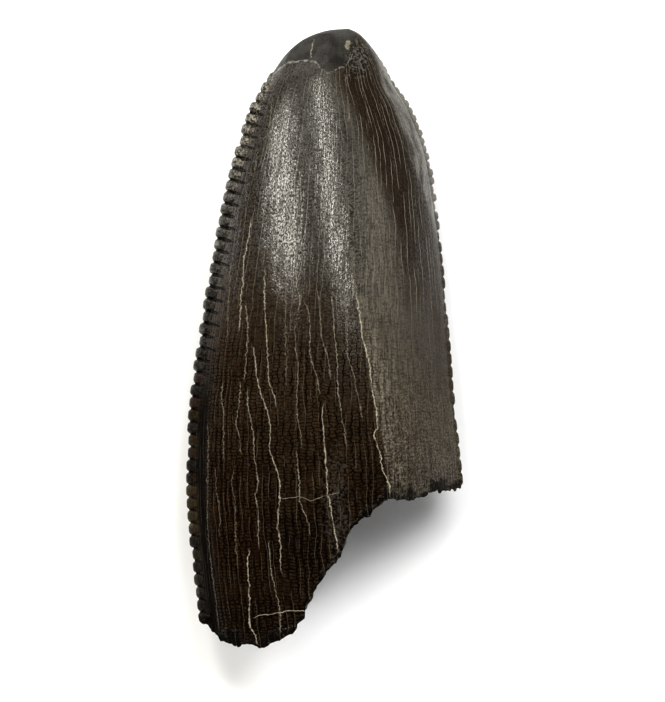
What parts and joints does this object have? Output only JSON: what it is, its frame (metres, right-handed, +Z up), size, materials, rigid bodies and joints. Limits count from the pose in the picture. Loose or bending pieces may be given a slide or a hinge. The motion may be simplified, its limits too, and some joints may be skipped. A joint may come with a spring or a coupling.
{
  "type": "fossil tyrannosaur tooth crown",
  "caption": "Partial tyrannosaur tooth crown lying on its side: a serrated, slightly flattened cone with a worn tip and an uneven broken base.",
  "frame": {"origin": "centre of the bounding box in plan, at the flat worn spot on the underside that the tooth lies on", "axes": "+Y along the crown from the broken base to the tip, +X from the rear (distal) cutting edge to the front (mesial) one, +Z up from the surface it lies on"},
  "size_m": [0.0138, 0.03, 0.0086],
  "materials": {
    "fossil_enamel": "glossy dark brown fossil enamel with pale mineral-filled cracks; the broken base is rough and matte"
  },
  "bodies": {
    "root": {"tooth": "fossil_enamel"}
  },
  "joints": []
}
